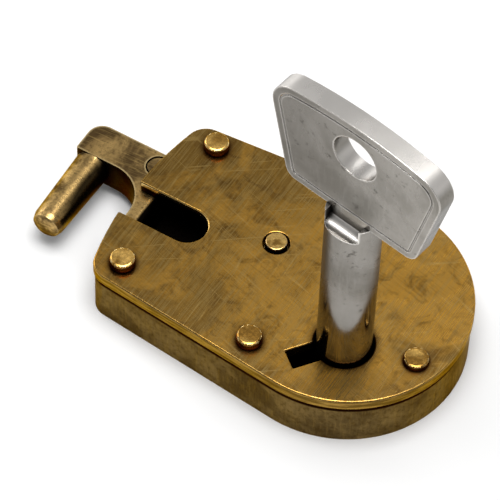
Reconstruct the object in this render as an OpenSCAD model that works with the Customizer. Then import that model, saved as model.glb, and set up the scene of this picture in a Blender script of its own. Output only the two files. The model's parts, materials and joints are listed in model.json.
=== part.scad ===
// Riveted lever lock with a sliding hook and a turned pipe key.
// Origin: centre of the flat back. +X runs from the slotted end to the round end,
// +Y to the hook's side, +Z out of the cover towards the key's bow.

/* [Case] */
// Length from the slotted end to the round end
case_length = 67.5; // [64:0.5:72]
// Width across the round end
case_width = 45.8; // [44:0.2:50]
// Thickness of the whole case
case_depth = 12.2; // [12:0.1:14]
// Angle by which each long side closes in towards the slotted end
side_taper = 5; // [3:0.5:6]
// Thickness of the cover plate
cover_t = 2.4; // [1.6:0.1:2.6]
// Thickness of the floor of the dished body
floor_t = 2.4; // [1.6:0.1:2.4]
// Thickness of the rim wall of the dished body
wall_t = 2; // [1.4:0.1:2.4]
// How far the dished body stands back under the cover's edge
case_inset = 0.3; // [0.1:0.05:0.6]
// Radius of the bowed slotted end
mouth_r = 70; // [50:1:120]
// Radius of the two corners beside the slot
corner_r = 4; // [3:0.25:5]

/* [Slot] */
// Width of the slot in the end of the case
slot_w = 7.6; // [6:0.1:9]
// Length of the slot
slot_l = 16.2; // [14:0.1:18]
// Distance of the slot's centre line from the case's centre line
slot_y = -1.8; // [-2.5:0.1:0]

/* [Rivets] */
// Diameter of the rivets' heads
rivet_head_d = 4.7; // [4:0.1:5.5]
// Height of the rivets' heads
rivet_head_h = 1.8; // [1:0.1:2.2]
// Diameter of the rivets' shanks
rivet_d = 3.2; // [2.4:0.1:3.6]

/* [Hook] */
// Thickness of the hook
hook_t = 7.1; // [6:0.1:7.1]
// Width of the hook's arm
arm_w = 7.1; // [6:0.1:7.4]
// Reach of the hook beyond the slotted end of the case
hook_reach = 15.1; // [13:0.1:18]
// Length of the hook's finger, from the arm to the tip
finger_l = 16.6; // [12:0.1:18]
// Diameter of the finger at its root
finger_root_d = 7; // [6:0.1:7]
// Diameter of the finger at its tip
finger_tip_d = 6.1; // [5:0.1:6.4]
// How far the hook slides into the case
hook_travel = 7.9; // [6:0.1:7.9]

/* [Levers] */
// Number of levers in the stack
lever_count = 5; // [3:1:5]
// Thickness of a lever
lever_t = 0.9; // [0.7:0.05:0.9]
// Diameter of the post that the levers turn on
post_d = 4; // [3.4:0.1:4]

/* [Key] */
// Outer diameter of the key's barrel
barrel_d = 10; // [9:0.1:10]
// Bore of the key's barrel
barrel_bore_d = 4.5; // [3.5:0.1:5.5]
// Thickness of the bit
bit_t = 3.3; // [2.4:0.1:3.4]
// Distance from the key's axis to the tip of the bit
bit_reach = 10; // [9.5:0.1:10]
// Direction of the bit as the key stands
bit_angle = 170; // [168:1:172]
// Direction of the bit's notch in the keyhole
keyhole_angle = 232; // [225:1:240]
// Height of the bow's lower edge above the cover
bow_gap = 39; // [30:0.5:45]
// Height of the bow
bow_h = 24; // [20:0.5:28]
// Width of the bow's top
bow_top_w = 35.6; // [34:0.2:44]
// Width of the bow's lower edge
bow_low_w = 28.6; // [22:0.2:32]
// Thickness of the bow
bow_t = 3.7; // [3:0.1:4]
// Diameter of the hole for a key ring
ring_hole_d = 9; // [7:0.1:10]

/* [Hidden] */

$fn = 96;
gap = 0.05;              // radial clearance of pins, posts and rivets in their holes
through = 1;             // how far a cut runs past a face
large_r = 8;             // arcs above this radius are drawn with the fine step
fine_step = 2.5;         // degrees
coarse_step = 9;         // degrees
brass = "darkgoldenrod";
worn_brass = "goldenrod";
nickel = "darkgray";
spring_steel = "slategray";

// Case
end_r = case_width / 2;
end_x = case_length / 2 - end_r;
mouth_x = -case_length / 2;
cover_z = case_depth - cover_t;
// The corners touch the long sides and the bowed end, so their place is found in two rounds
function side_y(x) = (end_r - corner_r + sin(side_taper) * (x - end_x)) / cos(side_taper);
function bowed_x(y) = mouth_x + mouth_r - sqrt(pow(mouth_r - corner_r, 2) - y * y);
corner_x = bowed_x(side_y(bowed_x(side_y(mouth_x + corner_r))));
corner_y = side_y(corner_x);
slot_end_x = mouth_x + slot_l - slot_w / 2;
edge_break = 0.35;       // chamfer round the rivets' heads
boss_r = rivet_d / 2 + 1.3;

// Rivets: place and height of the head above the cover
rivet_places = [[-26, 16.15], [-26.7, -15.1], [1.1, -17.5], [28.25, -5.8], [1.1, 17.5]];
low_rivet = 3;
low_rivet_h = 1.2;

// Hook
hook_z = floor_t + 0.15;
arm_y = 4.3;
arm_inner_x = -24;
cross_x = mouth_x + 0.8;
cross_w = 3.4;
cross_low_y = -7.6;
cross_round_r = 1.7;
throat_r = 7.4;
throat_x = cross_x - throat_r;
finger_x = mouth_x - hook_reach + finger_root_d / 2;
tail_t = 1.7;
lap_x = -36.4;
tail_low_y = -0.4;
tail_high_y = 12.3;
tail_right_x = 3.4;
tail_left_x = -16.4;
tail_arm_edge = 0.3;     // how much narrower the tail is than the arm on each side
hook_rivet_x = mouth_x + 0.1;
hook_rivet_y = 8.4;
hook_rivet_d = 4.7;
inner_rivet_x = -26.5;
inner_rivet_d = 2.6;

// Levers turn on the post. Polar sizes below are measured round the post's axis.
post_x = -5.65;
post_y = 3.3;
post_proud = 0.55;
lever_pitch = lever_t + 0.1;
lever_z = 4.65;
washer_t = 0.25;
hub_r = 4.6;
lever_reach = 19;
lever_top = 9.3;
nose_angle = 160;
nose_r = 1.2;
belly_gap = 0.25;
stump_d = 2.4;
stump_x = 0.25;
stump_y = 10;
gate_half = stump_d / 2 + 0.25;
lever_drop = 10.54;      // angle that a lever falls as the key turns to its notch
stop_pin_d = 2.4;
stop_pin_x = 8.35;
stop_pin_y = 17.45;
bit_step = [0, 0.9, 0.3, 1.2, 0.6];

// Leaf springs
leaf_t = 0.4;
leaf_r = 20;
leaf_sweep = 38.5;

// Key
key_x = 15.55;
key_y = -9.1;
barrel_low_z = floor_t + 0.35;
keyhole_r = barrel_d / 2 + 0.4;
keyhole_reach = bit_reach + 0.4;
keyhole_w = 3.9;
bow_z = case_depth + bow_gap;
bow_crown_r = 75;
bow_low_r = 2.4;
bow_high_r = 5;
bow_shift = 0.45;        // of the bow's middle from the barrel's axis
line_inset = 1.5;        // engraved line round each face of the bow
line_w = 0.35;
line_depth = 0.2;
tang_w = 7.4;
tang_l = 7;
notch_w = 7.2;           // notches that thin the barrel's top to the bow's thickness
notch_r = 2;
notch_y = 3.6;
notch_z = bow_z - 0.9;
ring_hole_z = bow_z + 16.1;

// Points along an arc, close together on a large radius
function arc(centre, r, from, to) =
    let (steps = max(2, ceil((to - from) / (r > large_r ? fine_step : coarse_step))))
    [for (k = [0 : steps])
        let (angle = from + (to - from) * k / steps)
        centre + r * [cos(angle), sin(angle)]];

// Corners are [x, y, radius]. This is the direction square to the edge from a to b
function corner_point(c) = [c[0], c[1]];
function outward(a, b) =
    let (d = corner_point(b) - corner_point(a))
    atan2(d[1], d[0]) - acos((a[2] - b[2]) / norm(d));

// The outline round a list of corners, taken anticlockwise
module rounded_outline(corners) {
    last = len(corners) - 1;
    polygon([for (i = [0 : last])
        let (c = corners[i],
             from = outward(corners[i == 0 ? last : i - 1], c),
             to = outward(c, corners[i == last ? 0 : i + 1]))
        each arc(corner_point(c), c[2], from, to < from ? to + 360 : to)]);
}

// The case's outline, drawn in by a margin all round
module case_outline(margin) {
    mouth = [mouth_x + mouth_r, 0];
    high = [corner_x, corner_y];
    low = [corner_x, -corner_y];
    square_to_side = 90 + side_taper;
    to_corner = atan2(corner_y, corner_x - mouth[0]);
    polygon(concat(arc([end_x, 0], end_r - margin, -square_to_side, square_to_side),
                   arc(high, corner_r - margin, square_to_side, to_corner),
                   arc(mouth, mouth_r - margin, to_corner, 360 - to_corner),
                   arc(low, corner_r - margin, 360 - to_corner, 360 - square_to_side)));
}

module slot_outline() {
    rounded_outline([[slot_end_x, slot_y, slot_w / 2], [mouth_x - slot_w, slot_y, slot_w / 2]]);
}

module keyhole_outline() {
    circle(keyhole_r);
    rotate(keyhole_angle)
        translate([0, -keyhole_w / 2])
            square([keyhole_reach, keyhole_w]);
}

module at_key() {
    translate([key_x, key_y, 0])
        children();
}

module at_post() {
    translate([post_x, post_y, 0])
        children();
}

module case_body() {
    color(brass)
    difference() {
        union() {
            difference() {
                linear_extrude(cover_z)
                    case_outline(case_inset);
                translate([0, 0, floor_t])
                    linear_extrude(cover_z)
                        case_outline(case_inset + wall_t);
            }
            // Bosses for the rivets, kept inside the rim
            intersection() {
                linear_extrude(cover_z)
                    case_outline(case_inset);
                for (place = rivet_places)
                    translate(place)
                        cylinder(h = cover_z, r = boss_r);
            }
        }
        for (place = rivet_places)
            translate([place[0], place[1], -through])
                cylinder(h = case_depth, d = rivet_d + 2 * gap);
        // Window in the end wall for the slot and for the hook's arm and crosspiece
        translate([mouth_x - wall_t, cross_low_y - 0.4, floor_t])
            cube([3 * wall_t, arm_y + arm_w + 0.3 - cross_low_y + 0.4, case_depth]);
        at_post()
            translate([0, 0, -through])
                cylinder(h = case_depth, d = post_d + 2 * gap);
        at_key()
            translate([0, 0, -through])
                cylinder(h = case_depth, d = barrel_bore_d);
        translate([stop_pin_x, stop_pin_y, -through])
            cylinder(h = case_depth, d = stop_pin_d + 2 * gap);
    }
}

module cover_plate() {
    color(brass)
    difference() {
        translate([0, 0, cover_z])
            linear_extrude(cover_t)
                case_outline(0);
        cover_cuts();
    }
}

// Everything that is cut through the cover
module cover_cuts() {
    translate([0, 0, cover_z - through])
        linear_extrude(cover_t + 2 * through)
            slot_outline();
    translate([key_x, key_y, cover_z - through])
        linear_extrude(cover_t + 2 * through)
            keyhole_outline();
    for (place = rivet_places)
        translate([place[0], place[1], cover_z - through])
            cylinder(h = cover_t + 2 * through, d = rivet_d + 2 * gap);
    translate([post_x, post_y, cover_z - through])
        cylinder(h = cover_t + 2 * through, d = post_d + 0.7);
}

module case_rivet(i) {
    head_h = i == low_rivet ? low_rivet_h : rivet_head_h;
    color(worn_brass)
    translate(rivet_places[i]) {
        cylinder(h = case_depth, d = rivet_d);
        translate([0, 0, case_depth])
            rotate_extrude()
                polygon([[0, 0], [rivet_head_d / 2, 0],
                         [rivet_head_d / 2, head_h - edge_break],
                         [rivet_head_d / 2 - edge_break, head_h], [0, head_h]]);
    }
}

// A post with a low domed end
module domed_post(d, z, top) {
    dome_r = 2.2 * d;
    intersection() {
        translate([0, 0, z])
            cylinder(h = top - z, d = d);
        translate([0, 0, top - dome_r])
            rotate_extrude()
                intersection() {
                    circle(dome_r, $fn = 360);
                    translate([0, -dome_r])
                        square([dome_r, 2 * dome_r]);
                }
    }
}

module lever_post() {
    color(worn_brass)
    at_post() {
        cylinder(h = case_depth, d = post_d);
        translate([0, 0, case_depth])
            rotate_extrude()
                polygon([[0, 0], [post_d / 2, 0], [post_d / 2, post_proud - 0.15],
                         [post_d / 2 - 0.15, post_proud], [0, post_proud]]);
    }
}

module post_washer() {
    color(spring_steel)
    at_post()
        translate([0, 0, lever_z - washer_t - gap])
            difference() {
                cylinder(h = washer_t, r = hub_r - 0.6);
                translate([0, 0, -through])
                    cylinder(h = 3 * through, d = post_d + 2 * gap);
            }
}

module key_guide_pin() {
    color(worn_brass)
    at_key()
        domed_post(barrel_bore_d - 2 * gap, 0, cover_z - 0.4);
}

module lever_stop_pin() {
    color(worn_brass)
    translate([stop_pin_x, stop_pin_y, 0])
        cylinder(h = cover_z, d = stop_pin_d);
}

// Outline of the hook's arm, crosspiece and the corner that carries the finger
module hook_outline() {
    left = mouth_x - hook_reach;
    far_y = arm_y + arm_w;
    outer_r = 3;
    rounded_outline([[left + 0.2, arm_y + 0.2, 0.2], [arm_inner_x - 0.5, arm_y + 0.5, 0.5],
                     [arm_inner_x - 0.5, far_y - 0.5, 0.5], [left + outer_r, far_y - outer_r, outer_r]]);
    rounded_outline([[cross_x + 0.5, cross_low_y + 0.5, 0.5],
                     [cross_x + cross_w - 0.5, cross_low_y + 0.5, 0.5],
                     [cross_x + cross_w - 0.5, arm_y + 1, 0.5], [cross_x + 0.5, arm_y + 1, 0.5]]);
    // The fillet between the arm and the crosspiece
    translate([throat_x, arm_y - throat_r])
        difference() {
            square(throat_r + 0.5);
            circle(throat_r);
        }
}

// What is cut from the crosspiece's upper edge to round it over
module cross_rounding() {
    translate([cross_x + cross_w - cross_round_r, arm_y, hook_z + hook_t - cross_round_r])
        rotate([90, 0, 0])
            linear_extrude(arm_y - cross_low_y + through)
                polygon(concat(arc([0, 0], cross_round_r, 0, 90),
                               [[0, 2 * cross_round_r], 2 * cross_round_r * [1, 1],
                                [2 * cross_round_r, 0]]));
}

module hook() {
    finger_z = hook_z + hook_t / 2;
    color(brass)
    difference() {
        union() {
            translate([0, 0, hook_z])
                linear_extrude(hook_t)
                    hook_outline();
            // Tapered round finger with a rounded tip
            translate([finger_x, arm_y, finger_z])
                rotate([90, 0, 0])
                    rotate_extrude()
                        polygon([[0, 0], [finger_root_d / 2, 0],
                                 [finger_tip_d / 2, finger_l - 1.8],
                                 [finger_tip_d / 2 - 0.35, finger_l - 0.65],
                                 [finger_tip_d / 2 - 1.1, finger_l - 0.15], [0, finger_l]]);
        }
        cross_rounding();
        // Step for the tail, under the arm
        translate([lap_x, arm_y - through, hook_z - through])
            cube([arm_inner_x - lap_x + through, arm_w + 2 * through, tail_t + gap + through]);
        translate([hook_rivet_x, hook_rivet_y, hook_z - through])
            cylinder(h = hook_t + 2 * through, d = hook_rivet_d + 2 * gap);
        translate([inner_rivet_x, hook_rivet_y, hook_z - through])
            cylinder(h = hook_t + 2 * through, d = inner_rivet_d + 2 * gap);
    }
}

// Tail: a strip under the arm, then a broad plate slotted round the lever post
module hook_tail() {
    strip_low = arm_y + tail_arm_edge;
    strip_high = arm_y + arm_w - tail_arm_edge;
    slot_r = post_d / 2 + 0.1;
    color(brass)
    translate([0, 0, hook_z])
        difference() {
            linear_extrude(tail_t)
                difference() {
                    union() {
                        translate([lap_x + gap, strip_low])
                            square([tail_left_x - lap_x + 2, strip_high - strip_low]);
                        rounded_outline([[tail_left_x + 1.5, tail_low_y + 1.5, 1.5],
                                         [tail_right_x - 1.5, tail_low_y + 1.5, 1.5],
                                         [tail_right_x - 1.5, tail_high_y - 1.5, 1.5],
                                         [tail_left_x + 1.5, tail_high_y - 1.5, 1.5]]);
                    }
                    rounded_outline([[post_x, post_y, slot_r], [post_x - hook_travel, post_y, slot_r]]);
                }
            translate([hook_rivet_x, hook_rivet_y, -through])
                cylinder(h = tail_t + 2 * through, d = hook_rivet_d + 2 * gap);
            translate([inner_rivet_x, hook_rivet_y, -through])
                cylinder(h = tail_t + 2 * through, d = inner_rivet_d + 2 * gap);
            translate([stump_x, stump_y, -through])
                cylinder(h = tail_t + 2 * through, d = stump_d + 2 * gap);
        }
}

module hook_rivet_outer() {
    color(brass)
    translate([hook_rivet_x, hook_rivet_y, hook_z])
        cylinder(h = hook_t, d = hook_rivet_d);
}

module hook_rivet_inner() {
    color(brass)
    translate([inner_rivet_x, hook_rivet_y, hook_z])
        cylinder(h = hook_t, d = inner_rivet_d);
}

module stump() {
    color(worn_brass)
    translate([stump_x, stump_y, hook_z])
        cylinder(h = cover_z - hook_z - 0.3, d = stump_d);
}

// A curved window round the post's axis, between two directions
module arc_window(mid_r, half, from, to) {
    far = 3 * lever_reach;
    intersection() {
        difference() {
            circle(mid_r + half);
            circle(mid_r - half);
        }
        polygon([[0, 0], far * [cos(from), sin(from)], far * [cos(to), sin(to)]]);
    }
    for (angle = [from, to])
        rotate(angle)
            translate([mid_r, 0])
                circle(half);
}

// One lever, drawn about the post's axis, lifted to the height where the stump passes
module lever_outline(i) {
    to_key = [key_x - post_x, key_y - post_y];
    belly_r = bit_reach - bit_step[i] + belly_gap;
    nose_at = to_key + (belly_r + nose_r - 0.15) * [cos(nose_angle), sin(nose_angle)];
    near_gate = [stump_x - post_x, stump_y - post_y];
    far_gate = near_gate + [hook_travel, 0];
    near_angle = atan2(near_gate[1], near_gate[0]);
    far_angle = atan2(far_gate[1], far_gate[0]);
    difference() {
        intersection() {
            circle(lever_reach);
            union() {
                rounded_outline([[0, 0, hub_r], [nose_at[0], nose_at[1], nose_r],
                                 [17, -6.5, 1.5], [lever_reach, 0, 2], [9.3, 4.4, 2.1]]);
                rounded_outline([[8, 2, 3.7], [lever_reach, 1, 1.7],
                                 [lever_reach, lever_top - 1.1, 1.1], [4.3, lever_top - 2, 2]]);
            }
        }
        translate(to_key)
            circle(belly_r);
        circle(post_d / 2 + gap);
        rounded_outline([[near_gate[0], near_gate[1], gate_half], [far_gate[0], far_gate[1], gate_half]]);
        arc_window(norm(near_gate), gate_half, near_angle - lever_drop - 1, near_angle);
        arc_window(norm(far_gate), gate_half, far_angle - lever_drop - 1, far_angle);
    }
}

module at_lever(i) {
    translate([post_x, post_y, lever_z + i * lever_pitch])
        children();
}

module lever(i) {
    color(brass)
    at_lever(i)
        linear_extrude(lever_t)
            difference() {
                lever_outline(i);
                leaf_outline();
            }
}

// Bent leaf that starts in a saw cut in the lever's hub and ends at the far wall
module leaf_outline() {
    start = [-1.2, 3];
    translate([start[0] - leaf_r, start[1]])
        intersection() {
            difference() {
                circle(leaf_r);
                circle(leaf_r - leaf_t);
            }
            polygon([[0, 0], 2 * leaf_r * [1, 0],
                     2 * leaf_r * [cos(leaf_sweep / 2), sin(leaf_sweep / 2)],
                     2 * leaf_r * [cos(leaf_sweep), sin(leaf_sweep)]]);
        }
}

module lever_spring(i) {
    color(spring_steel)
    at_lever(i)
        linear_extrude(lever_t)
            leaf_outline();
}

// The bow seen flat: a wide-topped trapezoid with a crowned upper edge
module bow_outline(margin) {
    low = [bow_low_w / 2 - bow_low_r, bow_z + bow_low_r];
    crown = [0, bow_z + bow_h - bow_crown_r];
    high_x = bow_top_w / 2 - bow_high_r;
    high = [high_x, crown[1] + sqrt(pow(bow_crown_r - bow_high_r, 2) - high_x * high_x)];
    tilt = outward([low[0], low[1], bow_low_r], [high[0], high[1], bow_high_r]);
    to_high = atan2(high[1] - crown[1], high_x);
    translate([bow_shift, 0])
        polygon(concat(arc(low, bow_low_r - margin, -90, tilt),
                       arc(high, bow_high_r - margin, tilt, to_high),
                       arc(crown, bow_crown_r - margin, to_high, 180 - to_high),
                       arc([-high[0], high[1]], bow_high_r - margin, 180 - to_high, 180 - tilt),
                       arc([-low[0], low[1]], bow_low_r - margin, 180 - tilt, 270)));
}

// Turns a flat drawing so that it stands up in the bow's plane
module in_bow_plane(thickness, middle = 0) {
    at_key()
        rotate(bit_angle - 180)
            rotate([90, 0, 0])
                translate([0, 0, middle - thickness / 2])
                    linear_extrude(thickness)
                        children();
}

module bow_solid() {
    difference() {
        in_bow_plane(bow_t)
            bow_outline(0);
        // Engraved lines
        for (side = [-1, 1])
            in_bow_plane(2 * line_depth, side * bow_t / 2)
                difference() {
                    bow_outline(line_inset);
                    bow_outline(line_inset + line_w);
                }
    }
    in_bow_plane(bow_t)
        tang_outline();
}

// The tang under the bow, brazed into a slot in the barrel
module tang_outline() {
    translate([-tang_w / 2, bow_z - tang_l])
        square([tang_w, tang_l + line_inset / 2]);
}

module key_bow() {
    color(nickel)
    difference() {
        bow_solid();
        at_key()
            rotate(bit_angle - 180)
                translate([bow_shift, bow_t, ring_hole_z])
                    rotate([90, 0, 0])
                        cylinder(h = 2 * bow_t, d = ring_hole_d);
    }
}

// Round-bottomed notch across the barrel's top, on one side of the bow
module barrel_notch() {
    translate([-notch_w / 2, notch_y, notch_z])
        rotate([0, 90, 0])
            cylinder(h = notch_w, r = notch_r);
    translate([-notch_w / 2, bow_t / 2 - gap, notch_z])
        cube([notch_w, barrel_d, notch_r]);
}

module key_barrel() {
    color(nickel)
    difference() {
        at_key()
            translate([0, 0, barrel_low_z])
                cylinder(h = bow_z - barrel_low_z, d = barrel_d);
        at_key()
            translate([0, 0, barrel_low_z - through])
                cylinder(h = cover_z + 3, d = barrel_bore_d);
        in_bow_plane(bow_t)
            tang_outline();
        for (turn = [0, 180])
            at_key()
                rotate(bit_angle + turn)
                    barrel_notch();
    }
}

// The bit is stepped, one step to each lever
module key_bit() {
    low_z = lever_z - 0.1;
    color(nickel)
    at_key()
        rotate(bit_angle)
            difference() {
                union() {
                    for (i = [0 : lever_count - 1])
                        translate([0, -bit_t / 2, low_z + i * lever_pitch])
                            cube([bit_reach - bit_step[i], bit_t, lever_pitch]);
                }
                translate([0, 0, -through])
                    cylinder(h = case_depth, d = barrel_d);
            }
}

case_body();
cover_plate();
case_rivet(0);  // case_rivet_1
case_rivet(1);  // case_rivet_2
case_rivet(2);  // case_rivet_3
case_rivet(3);  // case_rivet_4
case_rivet(4);  // case_rivet_5
lever_post();
post_washer();
key_guide_pin();
lever_stop_pin();
hook();
hook_tail();
hook_rivet_outer();
hook_rivet_inner();
stump();
lever(0);  // lever_1
lever(1);  // lever_2
lever(2);  // lever_3
lever(3);  // lever_4
lever(4);  // lever_5
lever_spring(0);  // lever_spring_1
lever_spring(1);  // lever_spring_2
lever_spring(2);  // lever_spring_3
lever_spring(3);  // lever_spring_4
lever_spring(4);  // lever_spring_5
key_barrel();
key_bow();
key_bit();
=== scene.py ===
import json
import math

import bpy
from mathutils import Matrix, Vector


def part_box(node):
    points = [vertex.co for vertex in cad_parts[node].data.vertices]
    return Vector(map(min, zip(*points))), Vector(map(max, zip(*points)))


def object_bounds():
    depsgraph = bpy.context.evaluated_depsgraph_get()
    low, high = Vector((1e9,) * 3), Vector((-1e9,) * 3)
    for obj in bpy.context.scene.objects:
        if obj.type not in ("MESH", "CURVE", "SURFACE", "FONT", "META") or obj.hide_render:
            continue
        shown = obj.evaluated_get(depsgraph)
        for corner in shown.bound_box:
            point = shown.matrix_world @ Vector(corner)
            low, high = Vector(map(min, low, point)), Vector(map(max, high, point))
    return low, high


# Looks of a riveted brass lever lock with a sliding hook and a pipe key.
# Every length is in metres, in the frame of the CAD model.

MM = 0.001

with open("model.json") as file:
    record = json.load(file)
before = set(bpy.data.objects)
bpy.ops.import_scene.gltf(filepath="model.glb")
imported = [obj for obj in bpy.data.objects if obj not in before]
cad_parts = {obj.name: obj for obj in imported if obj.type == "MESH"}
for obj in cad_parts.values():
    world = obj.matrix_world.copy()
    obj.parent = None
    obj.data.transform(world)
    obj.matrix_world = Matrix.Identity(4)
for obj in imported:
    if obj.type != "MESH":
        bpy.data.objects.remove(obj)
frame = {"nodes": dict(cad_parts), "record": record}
cad_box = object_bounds()
cover_low, cover_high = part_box("cover_plate")
case_low, case_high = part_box("case_body")
hook_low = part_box("hook")[0]
bow_low, bow_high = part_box("key_bow")


# ---------------------------------------------------------------- camera

CAMERA_AZIMUTH = math.radians(28.92)
CAMERA_ELEVATION = math.radians(53.84)
CAMERA_ROLL = math.radians(2.474)
CAMERA_DISTANCE = 638.3 * MM
CAMERA_LENS = 256.54
SENSOR_WIDTH = 36.0
AIM_FROM_SLOT_END = 24.861 * MM
AIM_FROM_CENTRE_LINE = -0.588 * MM


def add_camera():
    aim = Vector((cover_low.x + AIM_FROM_SLOT_END, AIM_FROM_CENTRE_LINE, cover_high.z))
    back = Vector((
        math.sin(CAMERA_AZIMUTH) * math.cos(CAMERA_ELEVATION),
        -math.cos(CAMERA_AZIMUTH) * math.cos(CAMERA_ELEVATION),
        math.sin(CAMERA_ELEVATION),
    ))
    right = Vector((0, 0, 1)).cross(back).normalized()
    up = back.cross(right)
    turned_right = right * math.cos(CAMERA_ROLL) + up * math.sin(CAMERA_ROLL)
    turned_up = up * math.cos(CAMERA_ROLL) - right * math.sin(CAMERA_ROLL)
    data = bpy.data.cameras.new("camera")
    data.lens = CAMERA_LENS
    data.sensor_width = SENSOR_WIDTH
    data.clip_start = 0.01
    data.clip_end = 10
    camera = bpy.data.objects.new("camera", data)
    axes = Matrix((turned_right, turned_up, back)).transposed().to_4x4()
    camera.matrix_world = Matrix.Translation(aim + back * CAMERA_DISTANCE) @ axes
    bpy.context.scene.collection.objects.link(camera)
    bpy.context.scene.camera = camera


add_camera()


# ---------------------------------------------------------------- studio

FLOOR_SIZE = 3.0
FLOOR_DROP = 0.02 * MM
PALE = (0.93, 0.93, 0.93, 1)
# Brightness of the surroundings, from the horizon and below (0) to straight up (1)
SURROUNDINGS = [(0.0, 1.0), (0.25, 0.8), (0.55, 0.3), (0.85, 0.3), (0.95, 0.8), (1.0, 1.0)]
NEAR_SIDE_STRENGTH = 0.3
FAR_SIDE_STRENGTH = 1.0


def add_area_light(name, place, aim, size, energy):
    data = bpy.data.lights.new(name, "AREA")
    data.shape = "RECTANGLE"
    data.size, data.size_y = size
    data.energy = energy
    light = bpy.data.objects.new(name, data)
    light.location = place
    light.rotation_euler = (Vector(aim) - Vector(place)).to_track_quat("-Z", "Y").to_euler()
    bpy.context.scene.collection.objects.link(light)


def add_world():
    """A soft studio: pale at the horizon and overhead, grey between, darker on the near side."""
    world = bpy.data.worlds.new("studio")
    world.use_nodes = True
    tree = world.node_tree
    background = tree.nodes["Background"]
    coords = tree.nodes.new("ShaderNodeTexCoord")
    split = tree.nodes.new("ShaderNodeSeparateXYZ")
    tree.links.new(coords.outputs["Generated"], split.inputs[0])
    height = tree.nodes.new("ShaderNodeValToRGB")
    height.color_ramp.interpolation = "B_SPLINE"
    while len(height.color_ramp.elements) < len(SURROUNDINGS):
        height.color_ramp.elements.new(0.5)
    for element, (place, value) in zip(height.color_ramp.elements, SURROUNDINGS):
        element.position = place
        element.color = (value, value, value, 1)
    tree.links.new(split.outputs["Z"], height.inputs["Fac"])
    toward = tree.nodes.new("ShaderNodeVectorMath")
    toward.operation = "DOT_PRODUCT"
    toward.inputs[1].default_value = (math.sin(CAMERA_AZIMUTH), -math.cos(CAMERA_AZIMUTH), 0)
    tree.links.new(coords.outputs["Generated"], toward.inputs[0])
    shade = tree.nodes.new("ShaderNodeMapRange")
    shade.inputs["From Min"].default_value = -0.2
    shade.inputs["From Max"].default_value = 0.7
    shade.inputs["To Min"].default_value = FAR_SIDE_STRENGTH
    shade.inputs["To Max"].default_value = NEAR_SIDE_STRENGTH
    tree.links.new(toward.outputs["Value"], shade.inputs["Value"])
    tree.links.new(height.outputs["Color"], background.inputs["Color"])
    tree.links.new(shade.outputs["Result"], background.inputs["Strength"])
    bpy.context.scene.world = world


def add_floor():
    half = FLOOR_SIZE / 2
    mesh = bpy.data.meshes.new("floor")
    mesh.from_pydata([(-half, -half, 0), (half, -half, 0), (half, half, 0), (-half, half, 0)],
                     [], [(0, 1, 2, 3)])
    floor = bpy.data.objects.new("floor", mesh)
    floor.location.z = cad_box[0][2] - FLOOR_DROP
    bpy.context.scene.collection.objects.link(floor)
    material = bpy.data.materials.new("floor")
    material.use_nodes = True
    shader = material.node_tree.nodes["Principled BSDF"]
    shader.inputs["Base Color"].default_value = PALE
    shader.inputs["Roughness"].default_value = 0.9
    shader.inputs["Specular IOR Level"].default_value = 0.1
    mesh.materials.append(material)


bpy.context.scene.view_settings.view_transform = "Standard"
add_world()
add_floor()
add_area_light("overhead", place=(0.05, -0.05, 0.8), aim=(0, 0, 0), size=(0.5, 0.5), energy=5.5)
add_area_light("left", place=(-0.7, 0.1, 0.35), aim=(0, 0, 0.02), size=(0.3, 0.5), energy=1.2)


# ---------------------------------------------------------------- material helpers

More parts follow.
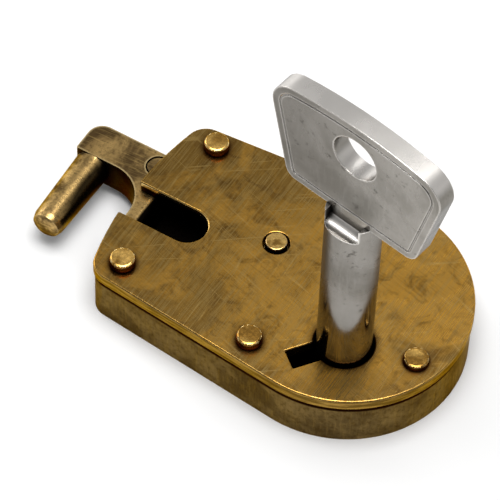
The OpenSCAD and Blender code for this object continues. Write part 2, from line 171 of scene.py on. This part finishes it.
class Graph:
    """A material's node tree, with short calls for the nodes that the metals share."""

    def __init__(self, name):
        self.material = bpy.data.materials.new(name)
        self.material.use_nodes = True
        self.tree = self.material.node_tree
        self.shader = self.tree.nodes["Principled BSDF"]
        coords = self.tree.nodes.new("ShaderNodeTexCoord")
        self.place = coords.outputs["Object"]

    def node(self, kind, **settings):
        node = self.tree.nodes.new(kind)
        for name, value in settings.items():
            setattr(node, name, value)
        return node

    def put(self, socket, value):
        """Links a socket to another's output, or sets its value."""
        if isinstance(value, bpy.types.NodeSocket):
            self.tree.links.new(value, socket)
        else:
            socket.default_value = value

    def along(self, angle, stretch, shift=0.0):
        """Object coordinates whose X runs at an angle in degrees, scaled by stretch."""
        turn = self.node("ShaderNodeMapping", vector_type="POINT")
        turn.inputs["Rotation"].default_value = (0, 0, -math.radians(angle))
        turn.inputs["Location"].default_value = (shift, shift, shift)
        self.put(turn.inputs["Vector"], self.place)
        scale = self.node("ShaderNodeMapping", vector_type="POINT")
        scale.inputs["Scale"].default_value = stretch
        self.put(scale.inputs["Vector"], turn.outputs[0])
        return scale.outputs[0]

    def noise(self, scale, detail=4.0, rough=0.55, vector=None, distortion=0.0):
        """Noise with features about 1/scale metres across."""
        node = self.node("ShaderNodeTexNoise")
        self.put(node.inputs["Vector"], vector or self.place)
        node.inputs["Scale"].default_value = scale
        node.inputs["Detail"].default_value = detail
        node.inputs["Roughness"].default_value = rough
        node.inputs["Distortion"].default_value = distortion
        return node.outputs["Fac"]

    def band(self, value, low, high, out_low=0.0, out_high=1.0):
        """out_low at low, out_high at high, eased between; low may be the larger of the two."""
        node = self.node("ShaderNodeMapRange", interpolation_type="SMOOTHSTEP")
        self.put(node.inputs["Value"], value)
        node.inputs["From Min"].default_value = low
        node.inputs["From Max"].default_value = high
        node.inputs["To Min"].default_value = out_low
        node.inputs["To Max"].default_value = out_high
        return node.outputs["Result"]

    def math(self, operation, a, b=0.0):
        node = self.node("ShaderNodeMath", operation=operation)
        self.put(node.inputs[0], a)
        self.put(node.inputs[1], b)
        return node.outputs[0]

    def mix(self, factor, a, b):
        """Colour a where factor is 0 and b where it is 1."""
        node = self.node("ShaderNodeMix", data_type="RGBA")
        self.put(node.inputs["Factor"], factor)
        self.put(node.inputs[6], a)
        self.put(node.inputs[7], b)
        return node.outputs[2]

    def edges(self, radius):
        """1 on edges, fading out over a radius."""
        bevel = self.node("ShaderNodeBevel", samples=6)
        bevel.inputs["Radius"].default_value = radius
        geometry = self.node("ShaderNodeNewGeometry")
        dot = self.node("ShaderNodeVectorMath", operation="DOT_PRODUCT")
        self.put(dot.inputs[0], bevel.outputs[0])
        self.put(dot.inputs[1], geometry.outputs["Normal"])
        return self.band(dot.outputs["Value"], 0.995, 0.86)

    def corners(self, reach, open_above=0.95, shut_below=0.45):
        """1 in corners and beside standing parts, fading out over a reach."""
        occlusion = self.node("ShaderNodeAmbientOcclusion", samples=8)
        occlusion.inputs["Distance"].default_value = reach
        return self.band(occlusion.outputs["AO"], open_above, shut_below)

    def facing_up(self):
        """1 on faces that look up, 0 on walls and undersides."""
        geometry = self.node("ShaderNodeNewGeometry")
        split = self.node("ShaderNodeSeparateXYZ")
        self.put(split.inputs[0], geometry.outputs["Normal"])
        return self.band(split.outputs["Z"], 0.35, 0.85)

    def facing_point(self, point, reach):
        """1 on faces that look towards a point, within a reach of it."""
        toward = self.node("ShaderNodeVectorMath", operation="SUBTRACT")
        toward.inputs[0].default_value = point
        self.put(toward.inputs[1], self.place)
        unit = self.node("ShaderNodeVectorMath", operation="NORMALIZE")
        self.put(unit.inputs[0], toward.outputs[0])
        length = self.node("ShaderNodeVectorMath", operation="LENGTH")
        self.put(length.inputs[0], toward.outputs[0])
        geometry = self.node("ShaderNodeNewGeometry")
        dot = self.node("ShaderNodeVectorMath", operation="DOT_PRODUCT")
        self.put(dot.inputs[0], unit.outputs[0])
        self.put(dot.inputs[1], geometry.outputs["Normal"])
        near = self.band(length.outputs["Value"], reach, 0.8 * reach)
        return self.math("MULTIPLY", near, self.band(dot.outputs["Value"], 0.1, 0.5))

    def axis(self, name):
        """The object's own X, Y or Z, in metres."""
        split = self.node("ShaderNodeSeparateXYZ")
        self.put(split.inputs[0], self.place)
        return split.outputs[name]

    def hairlines(self, angle, across, length, shift=0.0):
        """Thin broken lines at an angle: across of them to the metre, length times as long."""
        field = self.noise(across, 0.0, 0.5, self.along(angle, (1 / length, 1, 1), shift))
        line = self.band(self.math("ABSOLUTE", self.math("SUBTRACT", field, 0.5)), 0.02, 0.003)
        breaks = self.noise(330, 1.0, 0.5, self.along(angle + 7, (0.35, 1, 1), shift + 3))
        return self.math("MULTIPLY", line, self.band(breaks, 0.5, 0.62))

    def brushed(self, angle, across, length=25.0, shift=0.0):
        """Fine parallel brush marks at an angle, from 0 to 1."""
        return self.noise(across, 4.0, 0.65, self.along(angle, (1 / length, 1, 1), shift))

    def bump(self, height, strength, distance, under=None):
        """Raises the surface by a height, on top of an earlier bump."""
        node = self.node("ShaderNodeBump")
        node.inputs["Strength"].default_value = strength
        node.inputs["Distance"].default_value = distance
        self.put(node.inputs["Height"], height)
        if under is not None:
            self.put(node.inputs["Normal"], under)
        return node.outputs["Normal"]

    def metal(self, colour, roughness, normal, grazing=(0.62, 0.45, 0.2, 1)):
        """Finishes the material; grazing is the metal's tint at shallow angles."""
        self.put(self.shader.inputs["Base Color"], colour)
        self.shader.inputs["Specular Tint"].default_value = grazing
        self.put(self.shader.inputs["Roughness"], roughness)
        self.put(self.shader.inputs["Normal"], normal)
        self.shader.inputs["Metallic"].default_value = 1.0
        return self.material


def rgb(red, green, blue):
    return (red, green, blue, 1)


# ---------------------------------------------------------------- materials

GOLD = rgb(0.80, 0.42, 0.068)
AGED = rgb(0.26, 0.145, 0.032)
# Dark brown for stains, also used as painted shade round the rivets and on the post's side
STAIN_AND_SHADE = rgb(0.09, 0.038, 0.01)
BARE = rgb(0.85, 0.58, 0.20)
# Near black, put as painted shade in slots, hollows and the case's inside, and on the seam below the
# cover
SHADE_BLACK = rgb(0.006, 0.004, 0.003)
GREY = rgb(0.6, 0.6, 0.6)
SLOT_CENTRE_LINE = -1.8 * MM
SLOT_MIDDLE = (cover_low.x + 8 * MM, SLOT_CENTRE_LINE, cover_low.z)


def cover_brass():
    """Plate: brushed across, aged in clouds, scratched every way; dark round the rivets with stains and
    painted shade, painted shade on the sides, painted highlights on the edges and the slot's lip,
    near-black painted shade down the slot and in deep recesses.
    """
    graph = Graph("cover_brass")
    clouds = graph.noise(46, 7, 0.66, distortion=0.8)
    mottle = graph.noise(260, 6, 0.70, distortion=0.9)
    brush = graph.brushed(88, 5200, 40.0)
    cross_brush = graph.brushed(-14, 4600, 34.0, 1.7)
    steep = graph.hairlines(93, 1100, 60.0)
    shallow = graph.hairlines(-16, 950, 55.0, 5.1)
    stray = graph.hairlines(36, 520, 50.0, 9.3)
    wear = graph.math("SUBTRACT", clouds, graph.band(graph.axis("X"), -28 * MM, 20 * MM, -0.075, 0.10))
    colour = graph.mix(graph.band(wear, 0.36, 0.60), GOLD, AGED)
    colour = graph.mix(graph.band(mottle, 0.46, 0.70, 0, 0.6), colour, STAIN_AND_SHADE)
    colour = graph.mix(graph.band(brush, 0.44, 0.62, 0, 0.38), colour, BARE)
    colour = graph.mix(graph.band(cross_brush, 0.50, 0.68, 0, 0.25), colour, STAIN_AND_SHADE)
    lines = graph.math("MAXIMUM", graph.math("MAXIMUM", steep, shallow), stray)
    colour = graph.mix(graph.math("MULTIPLY", lines, 0.35), colour, BARE)
    # Dark brown round the rivets: stains, with painted shade where the heads stand.
    colour = graph.mix(graph.corners(2.6 * MM, 0.97, 0.6), colour, STAIN_AND_SHADE)
    # The sides get painted shade: a darker, streaked brown than the top, with a lighter band along their
    # lower edge.
    rolled = graph.noise(1700, 4, 0.65, graph.along(0, (0.09, 0.09, 1)))
    side = graph.mix(graph.band(rolled, 0.40, 0.60), rgb(0.36, 0.22, 0.06), rgb(0.14, 0.085, 0.026))
    low_edge = graph.band(graph.axis("Z"), cover_low.z + 0.5 * MM, cover_low.z + 0.2 * MM, 0, 0.4)
    side = graph.mix(low_edge, side, rgb(0.75, 0.50, 0.17))
    colour = graph.mix(graph.facing_up(), side, colour)
    # Lighter edges: wear, with a painted highlight on top of it.
    colour = graph.mix(graph.math("MULTIPLY", graph.edges(0.32 * MM), 0.85), colour, rgb(1.0, 0.78, 0.34))
    # Painted highlight: the slot's walls lit golden near the top of the plate.
    under_lip = graph.band(graph.axis("Z"), cover_high.z - 0.75 * MM, cover_high.z - 1.1 * MM)
    in_slot = graph.facing_point(SLOT_MIDDLE, 14 * MM)
    colour = graph.mix(graph.math("MULTIPLY", in_slot, 0.8), colour, rgb(1.0, 0.74, 0.30))
    # Painted shade: near black on the slot's walls below the lip.
    colour = graph.mix(graph.math("MULTIPLY", in_slot, under_lip), colour, SHADE_BLACK)
    # Painted shade: near black deep in the keyhole and other recesses.
    colour = graph.mix(graph.corners(8 * MM, 0.28, 0.12), colour, SHADE_BLACK)
    rough = graph.math("ADD", graph.band(clouds, 0.35, 0.65, 0.17, 0.29),
                       graph.band(brush, 0.35, 0.7, 0.06, -0.04))
    normal = graph.bump(graph.noise(130, 2, 0.5), 0.5, 0.12 * MM)
    normal = graph.bump(brush, 0.25, 0.02 * MM, normal)
    normal = graph.bump(mottle, 0.15, 0.05 * MM, normal)
    normal = graph.bump(lines, 0.2, 0.015 * MM, normal)
    return graph.metal(colour, rough, normal)


def case_brass():
    """Dished body: duller and browner, streaked wall, edges lighter with wear and a painted highlight, a
    dark seam that is partly painted shadow under the cover, and painted shade making it black inside.
    """
    graph = Graph("case_brass")
    clouds = graph.noise(120, 6, 0.65, distortion=0.5)
    streaks = graph.noise(2200, 5, 0.65, graph.along(0, (1, 1, 0.12)))
    grain = graph.noise(1100, 5, 0.68)
    colour = graph.mix(graph.band(clouds, 0.38, 0.64), rgb(0.205, 0.142, 0.062), rgb(0.09, 0.062, 0.03))
    colour = graph.mix(graph.band(streaks, 0.5, 0.75, 0, 0.22), colour, rgb(0.36, 0.23, 0.08))
    colour = graph.mix(graph.band(grain, 0.46, 0.68, 0, 0.55), colour, rgb(0.05, 0.028, 0.01))
    # Lighter edges: wear, with a painted highlight.
    colour = graph.mix(graph.math("MULTIPLY", graph.edges(0.45 * MM), 0.5), colour, rgb(0.50, 0.35, 0.14))
    # Dark band just below the cover: a seam, partly painted shadow under the cover's overhang.
    seam = graph.band(graph.axis("Z"), cover_low.z - 1.15 * MM, cover_low.z - 0.85 * MM)
    colour = graph.mix(seam, colour, SHADE_BLACK)
    # Painted shade: near black on the inside of the case, in the slot and on the floor deep inside.
    middle = ((case_low.x + case_high.x) / 2, 0, (case_low.z + case_high.z) / 2)
    colour = graph.mix(graph.facing_point(middle, 80 * MM), colour, SHADE_BLACK)
    colour = graph.mix(graph.facing_point(SLOT_MIDDLE, 14 * MM), colour, SHADE_BLACK)
    deep_inside = graph.band(graph.axis("Z"), 6 * MM, 5 * MM)
    colour = graph.mix(graph.math("MULTIPLY", graph.facing_up(), deep_inside), colour, SHADE_BLACK)
    rough = graph.band(streaks, 0.35, 0.65, 0.50, 0.36)
    normal = graph.bump(streaks, 0.2, 0.04 * MM)
    normal = graph.bump(grain, 0.2, 0.05 * MM, normal)
    return graph.metal(colour, rough, normal)


def rivet_brass():
    """Hammered heads: bright on top with a painted highlight on the rim, and painted shade making them
    dark round the side and the foot.
    """
    graph = Graph("rivet_brass")
    dents = graph.noise(230, 2, 0.5, distortion=0.6)
    grain = graph.noise(1800, 4, 0.7)
    top = graph.mix(graph.band(dents, 0.36, 0.60), rgb(0.95, 0.58, 0.155), rgb(0.44, 0.23, 0.045))
    top = graph.mix(graph.band(grain, 0.58, 0.80, 0, 0.35), top, STAIN_AND_SHADE)
    # Painted shade: the sides near black, the top bright.
    side = graph.mix(graph.band(dents, 0.42, 0.62), rgb(0.20, 0.075, 0.012), rgb(0.03, 0.011, 0.003))
    colour = graph.mix(graph.facing_up(), side, top)
    # Painted shade: near black at the foot.
    colour = graph.mix(graph.corners(1.0 * MM, 0.9, 0.55), colour, rgb(0.02, 0.008, 0.002))
    # Painted highlight on the rim of the head's top.
    high = graph.band(graph.axis("Z"), cover_high.z + 0.8 * MM, cover_high.z + 1.2 * MM)
    rim = graph.math("MULTIPLY", graph.edges(0.4 * MM), high)
    colour = graph.mix(graph.math("MULTIPLY", rim, 0.9), colour, rgb(1.0, 0.82, 0.42))
    rough = graph.band(grain, 0.35, 0.65, 0.18, 0.32)
    normal = graph.bump(dents, 0.7, 0.3 * MM)
    normal = graph.bump(grain, 0.08, 0.02 * MM, normal)
    return graph.metal(colour, rough, normal)


def hook_brass():
    """Casting: rubbed bright on ridges, partly wear and partly a painted highlight; painted shade makes
    it nearly black in hollows, in the throat, in the slot and underneath.
    """
    graph = Graph("hook_brass")
    clouds = graph.noise(95, 5, 0.6, distortion=0.8)
    grain = graph.noise(1500, 5, 0.7)
    brush = graph.brushed(4, 3600, 18.0)
    colour = graph.mix(graph.band(clouds, 0.44, 0.62), rgb(0.66, 0.43, 0.16), rgb(0.11, 0.068, 0.028))
    colour = graph.mix(graph.band(grain, 0.46, 0.68, 0, 0.6), colour, rgb(0.07, 0.042, 0.02))
    colour = graph.mix(graph.band(brush, 0.50, 0.70, 0, 0.35), colour, BARE)
    # Lighter edges: wear, with a painted highlight.
    colour = graph.mix(graph.math("MULTIPLY", graph.edges(0.8 * MM), 0.8), colour, rgb(0.92, 0.70, 0.34))
    # Painted shade: near black in hollows, in the throat and in the slot.
    colour = graph.mix(graph.corners(9 * MM, 0.72, 0.42), colour, SHADE_BLACK)
    throat = (hook_low.x + 10 * MM, hook_low.y + 11 * MM, hook_low.z + 6 * MM)
    colour = graph.mix(graph.math("MULTIPLY", graph.facing_point(throat, 16 * MM), 0.93), colour, SHADE_BLACK)
    colour = graph.mix(graph.facing_point(SLOT_MIDDLE, 12 * MM), colour, SHADE_BLACK)
    rough = graph.math("ADD", graph.band(clouds, 0.35, 0.65, 0.22, 0.36),
                       graph.band(brush, 0.4, 0.6, 0.05, 0))
    normal = graph.bump(brush, 0.2, 0.03 * MM)
    normal = graph.bump(grain, 0.25, 0.05 * MM, normal)
    return graph.metal(colour, rough, normal)


def post_brass():
    """Turned end of the lever post: cleaner than the plate, with a painted highlight on the rim and
    painted shade on the side and at its foot.
    """
    graph = Graph("post_brass")
    grain = graph.noise(1500, 4, 0.65)
    patch = graph.noise(420, 3, 0.6)
    top = graph.mix(graph.band(patch, 0.40, 0.60), rgb(0.90, 0.58, 0.18), rgb(0.40, 0.22, 0.05))
    # Painted shade on the side, the top bright.
    colour = graph.mix(graph.facing_up(), STAIN_AND_SHADE, top)
    # Painted shade: near black at the foot.
    colour = graph.mix(graph.corners(0.5 * MM, 0.8, 0.5), colour, SHADE_BLACK)
    # Painted highlight on the top's rim.
    rim = graph.math("MULTIPLY", graph.edges(0.3 * MM), graph.facing_up())
    colour = graph.mix(rim, colour, rgb(1.0, 0.90, 0.62))
    rough = graph.band(grain, 0.35, 0.65, 0.18, 0.30)
    return graph.metal(colour, rough, graph.bump(grain, 0.25, 0.04 * MM))


def lever_brass():
    """Clean brushed sheet, shut away inside the case."""
    graph = Graph("lever_brass")
    brush = graph.brushed(0, 2600)
    clouds = graph.noise(160, 4, 0.6)
    colour = graph.mix(graph.band(clouds, 0.4, 0.65), rgb(0.66, 0.48, 0.20), rgb(0.46, 0.32, 0.12))
    colour = graph.mix(graph.band(brush, 0.5, 0.72, 0, 0.35), colour, BARE)
    rough = graph.band(brush, 0.4, 0.62, 0.42, 0.28)
    return graph.metal(colour, rough, graph.bump(brush, 0.25, 0.04 * MM))


def turned_steel():
    """Grey pins with fine turning rings."""
    graph = Graph("turned_steel")
    rings = graph.noise(1500, 3, 0.6, graph.along(0, (0.1, 0.1, 1)))
    clouds = graph.noise(200, 4, 0.6)
    colour = graph.mix(graph.band(clouds, 0.4, 0.7), rgb(0.50, 0.50, 0.49), rgb(0.30, 0.29, 0.27))
    rough = graph.band(rings, 0.35, 0.65, 0.42, 0.26)
    return graph.metal(colour, rough, graph.bump(rings, 0.25, 0.04 * MM), GREY)


def blued_steel():
    """Blued spring steel with fine brush marks."""
    graph = Graph("blued_steel")
    clouds = graph.noise(260, 4, 0.6)
    brush = graph.brushed(80, 2600)
    colour = graph.mix(graph.band(clouds, 0.35, 0.7), rgb(0.16, 0.19, 0.26), rgb(0.30, 0.29, 0.30))
    rough = graph.band(brush, 0.4, 0.6, 0.4, 0.26)
    return graph.metal(colour, rough, graph.bump(brush, 0.2, 0.03 * MM), GREY)


def key_nickel():
    """Nickel plate: dull faces with dark specks, darker towards the bow's low-X end, top and edges partly
    rubbed bright and partly a painted highlight, dirt and painted shade in corners, polished barrel.
    """
    graph = Graph("key_nickel")
    clouds = graph.noise(60, 5, 0.6, distortion=0.4)
    specks = graph.noise(480, 5, 0.72)
    grain = graph.noise(3200, 2, 0.5)
    streaks = graph.noise(1400, 5, 0.65, graph.along(0, (1, 1, 0.12)))
    dull = graph.mix(graph.band(clouds, 0.36, 0.64), rgb(0.36, 0.34, 0.31), rgb(0.22, 0.207, 0.182))
    dull = graph.mix(graph.band(streaks, 0.48, 0.75, 0, 0.25), dull, rgb(0.46, 0.44, 0.41))
    dull = graph.mix(graph.band(specks, 0.57, 0.70, 0, 0.8), dull, rgb(0.05, 0.045, 0.035))
    # Darker towards the bow's low-X end.
    darker_to_low_x = graph.band(graph.axis("X"), bow_high.x, bow_low.x, 0, 0.55)
    dull = graph.mix(darker_to_low_x, dull, rgb(0.12, 0.112, 0.10))
    # Top and edges bright: rubbing on the edges, and a painted highlight on both.
    wear_and_highlight = graph.math("MAXIMUM", graph.facing_up(), graph.math("MULTIPLY", graph.edges(0.6 * MM), 0.7))
    colour = graph.mix(wear_and_highlight, dull, rgb(0.98, 0.94, 0.89))
    # Darker in corners: dirt, with painted shade.
    grime_and_shade = graph.math("MULTIPLY", graph.corners(1.0 * MM, 0.85, 0.5),
                       graph.band(clouds, 0.35, 0.6, 0.35, 0.9))
    colour = graph.mix(grime_and_shade, colour, rgb(0.06, 0.052, 0.042))
    # Painted shade: near black deep in corners.
    colour = graph.mix(graph.corners(3.5 * MM, 0.7, 0.4), colour, rgb(0.02, 0.017, 0.013))
    polished = graph.band(graph.axis("Z"), 36 * MM, 24 * MM)
    rough = graph.math("SUBTRACT", graph.band(clouds, 0.3, 0.7, 0.24, 0.34),
                       graph.math("MULTIPLY", polished, 0.16))
    normal = graph.bump(grain, 0.12, 0.03 * MM)
    normal = graph.bump(specks, 0.12, 0.08 * MM, normal)
    return graph.metal(colour, rough, normal, GREY)


MATERIALS = {
    "cover_brass": cover_brass,
    "case_brass": case_brass,
    "rivet_brass": rivet_brass,
    "post_brass": post_brass,
    "hook_brass": hook_brass,
    "lever_brass": lever_brass,
    "pin_steel": turned_steel,
    "spring_steel": blued_steel,
    "key_nickel": key_nickel,
}
# Width of the rounding on each material's edges
ROUNDED = {
    "cover_brass": 0.36 * MM,
    "case_brass": 0.3 * MM,
    "rivet_brass": 0.3 * MM,
    "post_brass": 0.15 * MM,
    "hook_brass": 0.55 * MM,
    "lever_brass": 0.08 * MM,
    "pin_steel": 0.12 * MM,
    "spring_steel": 0.05 * MM,
    "key_nickel": 0.35 * MM,
}
# Materials whose rounding isn't held back by short edges
OPEN_EDGED = ("cover_brass",)
WELD_GAP = 0.002 * MM
FLAT_WITHIN = math.radians(0.6)
SHARP_OVER = math.radians(30)
ROUNDING_STEPS = 3


def dress_nodes():
    """Gives each CAD node its material, joined corners, whole flat faces and rounded edges."""
    made = {slot: build() for slot, build in MATERIALS.items()}
    for entry in frame["record"]["subparts"]:
        node = frame["nodes"][entry["node"]]
        slot = entry["material_slot"]
        node.data.materials.clear()
        node.data.materials.append(made[slot])
        for face in node.data.polygons:
            face.use_smooth = True
        weld = node.modifiers.new("joined_corners", "WELD")
        weld.merge_threshold = WELD_GAP
        flat = node.modifiers.new("whole_faces", "DECIMATE")
        flat.decimate_type = "DISSOLVE"
        flat.angle_limit = FLAT_WITHIN
        bevel = node.modifiers.new("worn_edges", "BEVEL")
        bevel.width = ROUNDED[slot]
        bevel.segments = ROUNDING_STEPS
        bevel.limit_method = "ANGLE"
        bevel.angle_limit = SHARP_OVER
        bevel.use_clamp_overlap = slot not in OPEN_EDGED
        shading = node.modifiers.new("flat_shading", "WEIGHTED_NORMAL")
        shading.mode = "FACE_AREA"
        shading.weight = 100


dress_nodes()
